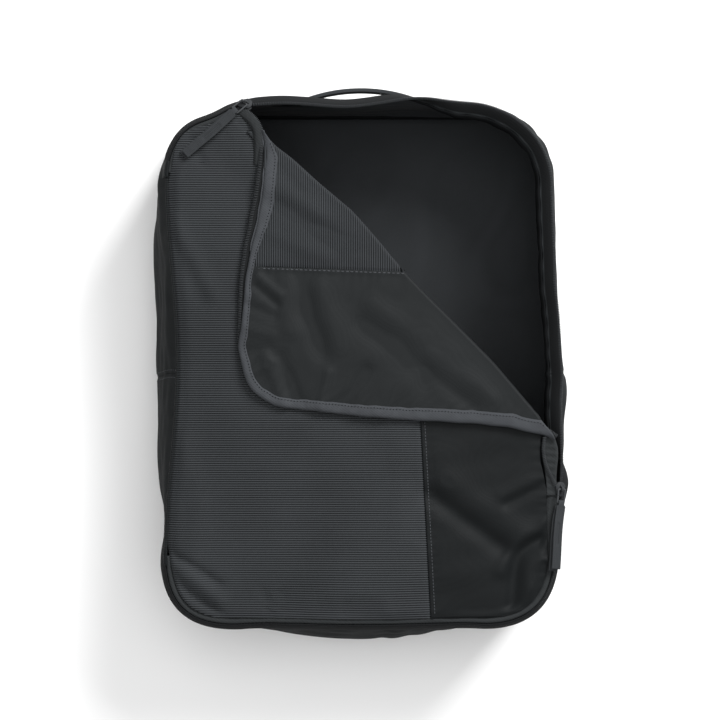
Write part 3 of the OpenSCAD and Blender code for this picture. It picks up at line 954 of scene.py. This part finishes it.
def flap_height(x, y):
    """The folded corner's upper surface"""
    n, t = across_fold(x, y)
    free = ease(n, fold_at(t) - 3, fold_at(t) - 20)
    hills = 0.5 + 0.5 * ripple(x, y, 51, 90) + 0.3 * ripple(x, y, 52, 36)
    for path, width, height in FLAP_PUCKERS:
        hills = hills + 1.5 * height * np.exp(-(distance(x, y, path) / width) ** 2)
    return FOLD_HEIGHT + ROLL_R + np.clip(hills, -0.5, 2.6) * free


def flap_seam_at(x):
    return 70.8 - 0.035 * (x + 20)


def fold_top(x):
    """Y where the roll starts on the folded corner's upper leaf, above this X"""
    y = np.full_like(np.asarray(x, float), 60.0)
    for _ in range(10):
        t = across_fold(x, y)[1]
        y = (fold_at(t) - ROLL_R - FOLD_N[0] * x) / FOLD_N[1]
    return y


def round_roll(x, steps=9, tail=7.0):
    """Rows of points that carry each column on round the fold and a little way under it"""
    y = fold_top(x)
    n, t = across_fold(x, y)
    slant = FOLD_T[1] / FOLD_N[1]
    rows = []
    turns = [(ROLL_R * a, ROLL_R * math.sin(a), FOLD_HEIGHT + ROLL_R * math.cos(a))
             for a in np.linspace(0, math.pi, steps)]
    turns += [(ROLL_R * math.pi + d, -d, FOLD_HEIGHT - ROLL_R)
              for d in (tail * 0.35, tail * 0.7, tail)]
    for travel, out, z in turns:
        tt = t + travel * slant
        nn = n + out + fold_at(tt) - fold_at(t)
        xy = nn[:, None] * FOLD_N + tt[:, None] * FOLD_T
        rows.append(np.column_stack([xy, np.full(len(x), z)]))
    return np.array(rows)


def flap_outline_range(x):
    """The lowest and highest Y of the folded corner's outline at this X"""
    edge = FLAP_EDGE
    lowest = int(np.argmin(edge[:, 0]))
    low_x, low_y = edge[lowest:, 0], edge[lowest:, 1]
    high_x, high_y = edge[:lowest + 1, 0][::-1], edge[:lowest + 1, 1][::-1]
    low = np.interp(x, np.maximum.accumulate(low_x), low_y)
    high = np.interp(x, np.maximum.accumulate(high_x), high_y, right=400)
    return low, high


def column_panel(name, x, bottom, top, rolls, count, height, materials, node,
                 phase=None):
    """A panel of the folded corner in columns along Y. Columns that end at the fold go on
    round it."""
    s = np.linspace(0, 1, count)
    s = s - 0.3 * np.sin(math.tau * s) / math.tau
    y = bottom[None] + (top - bottom)[None] * s[:, None]
    xx = np.repeat(x[None], count, axis=0)
    z = height(xx, y)
    flat = np.stack([xx, y, z], -1)
    turned = round_roll(x[rolls])
    rib = (height(x, fold_top(x)) - flap_height(x, fold_top(x)))[rolls]
    angle = np.concatenate([np.linspace(0, math.pi, 9), [math.pi] * 3])
    turned[:, :, 2] += rib[None] * np.cos(angle)[:, None]
    turned[:, :, :2] += FOLD_N * (rib[None] * np.sin(angle)[:, None])[:, :, None]
    faces_flat = grid(count, len(x))
    faces_roll = grid(len(turned), int(rolls.sum()))
    obj = make(name, [(flat, faces_flat), (turned, faces_roll)], materials)
    if phase is not None:
        mark_ribs(obj, np.concatenate([np.tile(phase, count),
                                       np.tile(phase[rolls], len(turned))]))
    join_near(obj)
    thicken(obj, PANEL_T, True)
    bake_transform(obj)
    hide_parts(node)


def join_near(obj, gap=0.02):
    """Merges points that lie together, such as those where two grids meet"""
    work = bmesh.new()
    work.from_mesh(obj.data)
    bmesh.ops.remove_doubles(work, verts=work.verts, dist=gap * MM)
    work.to_mesh(obj.data)
    work.free()


def trimmed(x, bottom, top, least):
    """Columns cut off where the roll starts, without those shorter than the least height, and
    which of them go on round the fold"""
    roll = fold_top(x)
    top = np.minimum(top, roll)
    keep = top > bottom + least
    return x[keep], bottom[keep], top[keep], (top >= roll - 1e-6)[keep]


def build_flap():
    def ribbed_height(x, y):
        lapped = 0.5 * ease(y, flap_seam_at(x) + 2.5, flap_seam_at(x))
        return flap_height(x, y) + 0.28 * np.cos(math.tau * x / RIB) - lapped

    x = np.arange(math.ceil(-82.5 / (RIB / 5)), 34.5 / (RIB / 5)) * RIB / 5
    _, high = flap_outline_range(x)
    x, bottom, top, rolls = trimmed(x, flap_seam_at(x) - 0.2, high - 0.8, 1.0)
    column_panel("flap_ribbed_fabric", x, bottom, top, rolls, 56, ribbed_height,
                 [RIBBED_FLAP, LINING], "flap_ribbed_panel",
                 x / RIB)

    def plain_height(x, y):
        near_edge = distance(x, y, FLAP_EDGE[::6, :2])
        pull = np.sin(0.55 * (x - y) + 1.3 * np.sin((x + y) * 0.08))
        puffed = 0.35 * bell(flap_seam_at(x) - y, 1.6, 1.8)
        pinch = 0.22 * np.sin(x * 0.8 + 2 * np.sin(x * 0.11)) * np.exp(
            -np.maximum(flap_seam_at(x) - y, 0) / 6)
        return (flap_height(x, y) + 0.16 * pull * np.exp(-((near_edge - 9) / 7) ** 2)
                + puffed + pinch)

    x = np.arange(FLAP_EDGE[:, 0].min() + 1.2, 134.0, 1.3)
    low, high = flap_outline_range(x)
    x, bottom, top, rolls = trimmed(x, low + 0.8, np.minimum(flap_seam_at(x), high - 0.8), 0.6)
    column_panel("flap_plain_fabric", x, bottom, top, rolls, 84, plain_height,
                 [PLAIN_FLAP, LINING], "flap_plain_panel")

    # the seam between the two fabrics, lapped and topstitched
    x = np.arange(-76.5, 33.5, 1.0)
    y = flap_seam_at(x) - 1.4
    spine = np.column_stack([x, y, flap_height(x, y) - 1.5])
    _, side, up = along(spine)
    lap = make("flap_seam_tape", [sweep(spine, side, up, [(-3, 0), (0, -0.2), (3, 0)])],
               BINDING_SHADED)
    thicken(lap, 0.5)
    fit(lap, "flap", "binding_tape", "flap_seam_binding")
    line = spine + np.array((0, 0, 1.5 + 0.45))
    fit(make("flap_seam_stitching", [stitches(line, 3.4, 2.2, 0.8)], THREAD), "flap", "thread")
    build_flap_edge()


def build_flap_edge():
    """The tape sewn round the folded corner's edge, its stitches, and the zip half beyond"""
    far = np.arange(len(FLAP_EDGE)) * 1.0
    flat = np.column_stack([FLAP_EDGE, 0 * far])
    _, side, up = along(flat)
    flat = flat + side * (0.3 * ripple(far, 0 * far, 62, 17))[:, None]
    left = far[-1] - far
    width = np.interp(far, [0, 8, 20, 57, 73, 91, 111, 137, 167, 197, 243, 290, 340, 400],
                      [0.8, 4.4, 8.6, 8.8, 7.0, 4.6, 4.2, 5.0, 5.8, 6.4, 7.4, 8.4, 9.2, 9.8])
    width = np.minimum(width, np.interp(left, [0, 5.5, 12, 20], [1.0, 4.0, 8.8, 20]))
    width = width + 0.3 * ripple(far, 0 * far, 63, 12) * ease(left, 2, 14)
    sag = 1.2 * ease(far, 50, 5) + 1.0 * ease(left, 24, 8) + 0.8 * ease(left, 9, 0)
    pucker = 0.16 * np.sin(far / 1.9 + 2 * np.sin(far / 23))

    def over_panel(share, lift):
        """Points this share of the tape's width in from the edge, lying on the panel"""
        at = flat + side * (np.reshape(share, (-1, 1)) * width[:, None])
        at[:, 2] = flap_height(at[:, 0], at[:, 1]) + lift
        at[:, 2] -= sag * ease(share, 0.9, 0.2)
        return at

    edge_z = over_panel(0.0, 0.0)[:, 2]
    rows = [over_panel(1.0, 0.05), over_panel(0.96, 0.75 + 0.4 * pucker),
            over_panel(0.78, 0.8 + pucker), over_panel(0.55, 1.1 + 0.8 * pucker),
            over_panel(0.3, 1.15 + 0.4 * pucker), over_panel(0.1, 0.85)]
    for out, drop in ((0.35, 0.0), (0.45, 0.8), (0.0, 1.5), (-1.5, 1.9)):
        row = flat - side * out
        row[:, 2] = edge_z - drop
        rows.append(row)
    rows.append(flat + side * (0.85 * width)[:, None])
    rows[-1][:, 2] = edge_z - 1.9
    rows = np.array(rows)
    binding = make("flap_edge_tape", [(rows, grid(*rows.shape[:2], flip=True))], BINDING)
    thicken(binding, 0.4)
    fit(binding, "flap", "binding_tape", "flap_edge_binding")
    path = over_panel(0.0, -0.6)
    line = over_panel(0.78, 0.95 + pucker)
    sewn = (far > 9) & (left > 9)
    # dark lozenges along the stitch line: painted shade in the stitch holes
    fit(make("flap_edge_hole_shade", [stitches(line[sewn], 2.4, 0.8, 0.7, 0.02)], HOLE_SHADE),
         "flap", "thread")
    shown = line[sewn & (far > 85)][1:]
    fit(make("flap_edge_stitching", [stitches(shown, 2.4, 1.3, 0.5, 0.05)], BINDING),
        "flap", "thread")

    # the zip half: it lies beyond the binding along the left edge, then tucks under it
    reach = np.interp(far, [0, 19, 67, 89, 112, 133, 157, 182, 400],
                      [2.4, 5.0, 6.4, 5.6, 4.2, 3.6, 1.2, -2.6, -3.0])
    drop = np.interp(far, [0, 67, 133, 177, 400], [0.7, 0.9, 1.2, 1.8, 2.0])
    under = path.copy()
    under[:, 2] -= drop
    rows = [(2.0 - 0.2 * reach, -0.5 + 0 * far), (-0.25 * reach, 0.15 + 0 * far),
            (-0.5 * reach, 0.3 + 0.3 * pucker), (-0.8 * reach, 0.2 + 0 * far),
            (-reach, -0.15 + 0 * far), (-reach - 0.3, -0.6 + 0 * far)]
    tape = make("flap_zip_tape_weave", [sweep(under, side, up, rows, flip=True)], TAPE_CASE)
    thicken(tape, 0.5)
    fit(tape, "flap", "zip_tape", "flap_zip_tape")
    core = under - side * (reach - 0.8)[:, None] + up * 0.25
    wire = helix(core, side, up, 1.25, 0.8, 10)
    fit(make("flap_zip_coil_wire", [tube(wire, 0.3, 4)], COIL), "flap", "zip_coil",
        "flap_zip_coil")
    # a crumpled piping of the lid's own fabric shows between tape and binding
    near = far < 92
    start = under[near] - side[near] * 0.9 + up[near] * 0.75
    piping = start + side[near] * (0.35 * ripple(far[near], 0, 66, 14))[:, None]
    cord = make("flap_edge_piping", [tube(piping, 0.75, 8)], BINDING)
    fit(cord, "flap", "binding_tape")


# ---- sliders, links and tabs ----

def turn(axis, degrees):
    c, s = math.cos(math.radians(degrees)), math.sin(math.radians(degrees))
    return np.array({"x": [[1, 0, 0], [0, c, -s], [0, s, c]],
                     "y": [[c, 0, s], [0, 1, 0], [-s, 0, c]],
                     "z": [[c, -s, 0], [s, c, 0], [0, 0, 1]]}[axis])


def prism(shape, low, high):
    """A plate with this outline between two heights"""
    n = len(shape)
    points = [(x, y, low) for x, y in shape] + [(x, y, high) for x, y in shape]
    faces = [list(range(n))[::-1], list(range(n, 2 * n))]
    faces += [[i, (i + 1) % n, n + (i + 1) % n, n + i] for i in range(n)]
    return np.array(points, float), faces


def teardrop(wide, narrow, cut=None):
    """Outline of a slider's wing, wide at its mouth, +X. cut trims the side at -Y."""
    points = []
    for a in np.linspace(-80, 80, 13):
        points.append((1.5 + wide * math.cos(math.radians(a)),
                       wide * math.sin(math.radians(a))))
    for a in np.linspace(110, 250, 11):
        points.append((-2.5 + narrow * math.cos(math.radians(a)),
                       narrow * math.sin(math.radians(a))))
    return [(x, max(y, cut) if cut is not None else y) for x, y in points]


ZIP_TILT = 20
PIN_AT = 4.6


def build_slider(name, pivot, body, about, mirrored):
    """A slider on its pivot: two wings, the wedge between them, side flanges and an arched
    bridge that holds the link"""
    frame_of = turn("z", about) @ turn("y", ZIP_TILT) @ turn("z", 90)
    origin = pivot - frame_of @ np.array((0, 0, PIN_AT))
    parts = [prism(teardrop(4.0, 2.9), 1.9, 2.75), prism(teardrop(3.3, 2.3), 2.7, 3.1),
             prism(teardrop(3.7, 2.7, -1.5), -3.0, -1.9)]
    parts.append(prism([(2.2, -0.5), (4.9, -0.9), (5.3, 0), (4.9, 0.9), (2.2, 0.5)], -2, 2))
    for side in (-1, 1):
        parts.append(prism([(-3.2, side * 3.1), (2.4, side * 3.7), (2.4, side * 3.05),
                            (-3.2, side * 2.5)][::side], 0.9, 2.1))
    arch = [(-3.5, 3.0), (-2.3, 4.3), (-2.05, 6.0), (-1.0, 7.0), (1.0, 7.0), (2.05, 6.0),
            (2.3, 4.3), (3.5, 3.0)]
    hole = [(-1.9, 3.0), (-1.35, 4.4), (-1.25, 5.5), (-0.7, 6.1), (0.7, 6.1), (1.25, 5.5),
            (1.35, 4.4), (1.9, 3.0)]
    half = 0.75
    points, faces = [], []
    for y in (-half, half):
        points += [(x, y, z) for x, z in arch] + [(x, y, z) for x, z in hole]
    n = len(arch)
    for i in range(n - 1):
        front = [i, i + 1, n + i + 1, n + i]
        faces += [front, [2 * n + k for k in front[::-1]]]
        faces += [[i + 1, i, 2 * n + i, 2 * n + i + 1],
                  [n + i, n + i + 1, 3 * n + i + 1, 3 * n + i]]
    faces += [[0, n, 3 * n, 2 * n], [2 * n - 1, n - 1, 3 * n - 1, 4 * n - 1]]
    parts.append((np.array(points, float), faces))
    flip = np.array((-1.0, 1, 1)) if mirrored else np.ones(3)
    placed = []
    for p, f in parts:
        q = (p * flip) @ frame_of.T + origin
        placed.append((q, [face[::-1] for face in f] if mirrored else f))
    slider = make(name + "_body", placed, METAL)
    bevel = slider.modifiers.new("bevel", "BEVEL")
    bevel.width, bevel.segments, bevel.limit_method = 0.22 * MM, 2, "ANGLE"
    bevel.angle_limit = math.radians(35)
    fit(slider, body, "slider_metal", name)


def build_puller(name, pivot, body, frame_of, droop, lean):
    """The wire link and the folded tape tab that hang from a slider"""
    half, reach, r = 2.7, 10.0, 0.62
    corners = [(0.9, half), (reach - 0.9, half), (reach, half - 0.9), (reach, 0.9 - half),
               (reach - 0.9, -half), (0.9, -half), (0, 0.9 - half), (0, half - 0.9)]
    loop = []
    for i in range(0, 8, 2):
        (ax, ay), (bx, by) = corners[i], corners[i + 1]
        for s in np.linspace(0, 1, 5):
            loop.append((ax + (bx - ax) * s, ay + (by - ay) * s, 0))
        (cx, cy) = corners[(i + 2) % 8]
        mx, my = (bx if i % 4 == 2 else cx), (by if i % 4 == 0 else cy)
        for s in (0.33, 0.67):
            k = (1 - s) ** 2, 2 * s * (1 - s), s * s
            loop.append((k[0] * bx + k[1] * mx + k[2] * cx,
                         k[0] * by + k[1] * my + k[2] * cy, 0))
    loop = np.array(loop, float) @ frame_of.T + pivot
    link = make(name + "_wire", [tube(loop, r, 10, closed=True)], WIRE)
    fit(link, body, "slider_metal", name + "_link")

    # one tape: along the lower leaf, round the wire and back along the upper leaf
    leaf, gap, eye = 49.0, 0.78, 1.15
    slot_at, slot_half = 23, 7.2
    spine = [(x, -gap, 7.0) for x in np.linspace(leaf + 2, 2.6, 60)]
    spine += [(1.9, -gap - 0.1, 6.0), (1.3, -gap - 0.2, 4.3), (0.6, -1.02, 4.2)]
    spine += [(-eye * math.cos(a), eye * math.sin(a), 4.2)
              for a in np.radians(np.linspace(-50, 50, 7))]
    spine += [(0.6, 1.02, 4.2), (1.3, gap + 0.2, 4.3), (1.9, gap + 0.1, 6.0)]
    spine += [(x, gap, 7.0) for x in np.linspace(2.6, leaf, 60)]
    spine = np.array(spine)
    across = np.linspace(-0.5, 0.5, 41)
    rows = []
    for x, z, wide in spine:
        away = 1 if z > 0 else -1
        ridges = 0.16 * np.abs(np.cos(math.pi * 6 * across)) * ease(wide, 4.5, 6.5)
        y = across * wide
        slot_x = np.maximum(np.abs(x - slot_at) - slot_half, 0)
        depth = 0.42 * ease(np.hypot(slot_x, np.maximum(np.abs(y) - 0.25, 0)), 1.25, 0.75)
        bend = 0.5 * math.sin(x / 11.0) * lean
        spread = 0.35 * ease(x, 12, 46)
        shift = -0.75 * (z < 0) * ease(x, 3, 12)
        top = z + away * (ridges + spread - (depth if z > 0 else 0)) + bend * 0.4
        rows.append(np.column_stack([np.full(41, x), y + shift + bend, top]))
    rows = np.array(rows)
    place = frame_of @ turn("y", droop)
    end = pivot + frame_of @ np.array((reach, 0, 0))
    rows = rows @ place.T + end
    tab = sheet(name + "_tape_tab", rows, TAB, 0.85)
    fit(tab, body, "puller_tape", name + "_tab")
    line = np.array([(5.0, s, gap + 0.62) for s in np.linspace(-3.2, 3.2, 9)])
    bar = stitches(line @ place.T + end, 0.8, 0.75, 0.5, 0.05, place[:, 2])
    fit(make(name + "_tab_stitch", [bar], TAB), body, "thread")
    # a dark patch on the floor of the slot pressed into the tab: painted shade in the recess
    x = np.linspace(15.9, 30.1, 30)
    half = 1.0 - 0.45 * np.clip(np.maximum(16.9 - x, x - 29.1), 0, 1) ** 2
    over = gap + 0.35 * ease(x, 12, 46) - 0.26 + 0.2 * lean * np.sin(x / 11)
    drift = 0.5 * np.sin(x / 11.0) * lean
    rows = [np.column_stack([x, share * half + drift, over]) for share in (-1, 0, 1)]
    pad = sheet(name + "_tab_slot_shade", np.array(rows) @ place.T + end, SLOT_SHADE, 0.3, flip=True)
    fit(pad, body, "puller_tape")


def build_pullers():
    top, side = joint_place("puller_top_swing"), joint_place("puller_side_swing")
    build_slider("slider_top", top, "slider_top", 90, True)
    build_slider("slider_side", side, "slider_side", 0, False)
    build_puller("puller_top", top, "puller_top", turn("z", 221.8) @ turn("y", -12), 14.5, 1)
    build_puller("puller_side", side, "puller_side",
                 turn("y", ZIP_TILT) @ turn("z", 265), 2.5, -1)


# ---- the handle ----

HANDLE_HALF, HANDLE_Y, HANDLE_Z, BOW = 46.0, 199.0, 56.0, 9.0


def build_handle():
    radius = (HANDLE_HALF ** 2 + BOW ** 2) / (2 * BOW)
    for name, sign in (("left", -1), ("right", 1)):
        x = np.linspace(0, HANDLE_HALF + 18, 74) * sign
        bowed = np.minimum(np.abs(x), HANDLE_HALF)
        y = HANDLE_Y + BOW - radius + np.sqrt(radius ** 2 - bowed ** 2)
        y = y - 0.1 * ease(np.abs(x), 40, 50)
        path = np.column_stack([x, y, np.full(len(x), HANDLE_Z)])
        out = np.tile((0.0, 1.0, 0.0), (len(x), 1))
        up = np.tile((0.0, 0.0, 1.0), (len(x), 1))
        thick = 1.75 - 0.9 * ease(np.abs(x), HANDLE_HALF - 6, HANDLE_HALF + 2)
        tall = 5.5 + 1.8 * ease(np.abs(x), HANDLE_HALF - 4, HANDLE_HALF + 8)
        profile = []
        for a in np.radians(np.arange(0, 360, 12)):
            c, s = math.cos(a), math.sin(a)
            profile.append((np.sign(c) * abs(c) ** 0.5 * thick,
                            np.sign(s) * abs(s) ** 0.4 * tall + 0.12 * math.sin(7 * a)))
        points, faces = sweep(path, out, up, profile, closed=True, flip=sign < 0)
        last = len(x) - 1
        count = len(profile)
        cap = [k * len(x) + last for k in range(count)]
        strap = make("handle_strap_" + name, [(points, faces + [cap if sign > 0 else cap[::-1]])],
                     WEBBING)
        join_near(strap)
        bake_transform(strap)
        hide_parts("handle_strap")

        # the patch it is sewn to
        centre = sign * (HANDLE_HALF + 10.5)
        px = np.linspace(-11.5, 11.5, 24)
        pz = np.linspace(-10.5, 10.5, 22)
        gx, gz = np.meshgrid(px, pz)
        bulge = 0.5 * (1 - (gx / 11.5) ** 4) * (1 - (gz / 10.5) ** 4)
        head = mid_xy[mid_xy[:, 1] > 150]
        head = head[np.argsort(head[:, 0])]
        gy = np.interp(gx + centre, head[:, 0], head[:, 1]) + 0.9
        gy = np.minimum(gy, 198.3) + bulge + 0.1 * np.sin(gx * 2.1)
        patch = sheet("handle_patch_" + name, np.stack([gx + centre, gy, gz + HANDLE_Z], -1),
                      WALL, 1.1, flip=True)
        fit(patch, "case", "plain_nylon", "handle_end_" + name)

    bars = []
    for sign in (-1, 1):
        for place in (5, 16):
            line = [(sign * (HANDLE_HALF + place) + 0.5 * (k % 2), 200.1, HANDLE_Z + z)
                    for k, z in enumerate(np.linspace(-6.6, 6.6, 34))]
            bars.append(stitches(np.array(line), 0.5, 0.9, 0.45, 0.0, (0, 1, 0)))
    fit(make("handle_bartack_thread", bars, THREAD), "case", "thread", "handle_bartacks")


# ---- the studio ----

def area_light(name, place, size, watts):
    light = bpy.data.lights.new(name, "AREA")
    light.shape, light.size, light.size_y = "RECTANGLE", *size
    light.energy = watts
    obj = bpy.data.objects.new(name, light)
    obj.location = place
    aim = np.array((0, 0, 0.08)) - np.array(place)
    flat = math.hypot(aim[0], aim[1])
    obj.rotation_euler = (math.atan2(flat, -aim[2]), 0, math.atan2(-aim[0], aim[1]))
    bpy.context.scene.collection.objects.link(obj)


def build_studio():
    s = Shader("pale_floor", 0.9)
    s.colour((247, 247, 247), 0.01, s.sum((s.noise(3), 1.0)))
    wide, low = 4000, -0.3
    corners = [(-wide, -wide, low), (wide, -wide, low), (wide, wide, low), (-wide, wide, low)]
    floor = make("studio_floor", [(np.array(corners), [[0, 1, 2, 3]])], s.material)
    area_light("key", (1.0, 1.3, 1.25), (0.8, 0.8), 60)
    area_light("fill", (-1.3, -0.9, 1.6), (1.6, 1.6), 3)
    area_light("top", (0.1, 0.3, 2.6), (2.2, 2.2), 30)
    world = bpy.data.worlds.new("studio")
    world.use_nodes = True
    world.node_tree.nodes["Background"].inputs["Color"].default_value = (1, 1, 1, 1)
    world.node_tree.nodes["Background"].inputs["Strength"].default_value = 0.52
    scene = bpy.context.scene
    scene.world = world
    scene.view_settings.view_transform = "Standard"
    camera = bpy.data.objects.new("camera", bpy.data.cameras.new("camera"))
    camera.data.lens, camera.data.sensor_width = 108, 36
    # straight above the lid, as the photo is taken
    camera.location = (-0.0007, 0.0037, 1.696)
    scene.collection.objects.link(camera)
    scene.camera = camera


build_case()
build_lid()
build_zip()
build_flap()
build_pullers()
build_handle()
build_studio()
